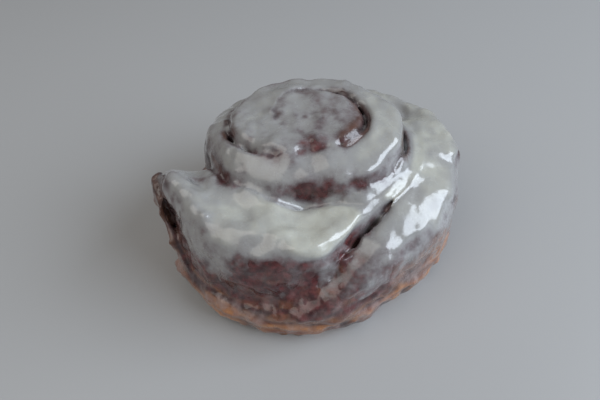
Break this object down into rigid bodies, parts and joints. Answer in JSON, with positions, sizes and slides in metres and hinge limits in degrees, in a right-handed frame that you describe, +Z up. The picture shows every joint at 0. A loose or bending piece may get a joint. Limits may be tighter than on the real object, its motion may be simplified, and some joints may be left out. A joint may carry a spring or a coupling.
{
  "type": "cinnamon bun",
  "caption": "Spiral cinnamon bun of rolled, filled dough, baked in one piece, with glossy white icing poured over its stepped top and down its sides.",
  "frame": {"origin": "On the surface that the bun rests on, under the middle of its box", "axes": "+Z up, +X across the bun's widest way, -Y towards the front, where the icing pools and the strip's tail ends"},
  "size_m": [0.118, 0.1084, 0.0604],
  "materials": {
    "crust": "baked dough crust, moist, brown to maroon, with dark cinnamon filling in the seams",
    "icing": "wet, glossy milk-white sugar icing, thin enough over the ridges for the crust to show"
  },
  "bodies": {
    "root": {"bun": "crust", "icing": "icing"}
  },
  "joints": []
}
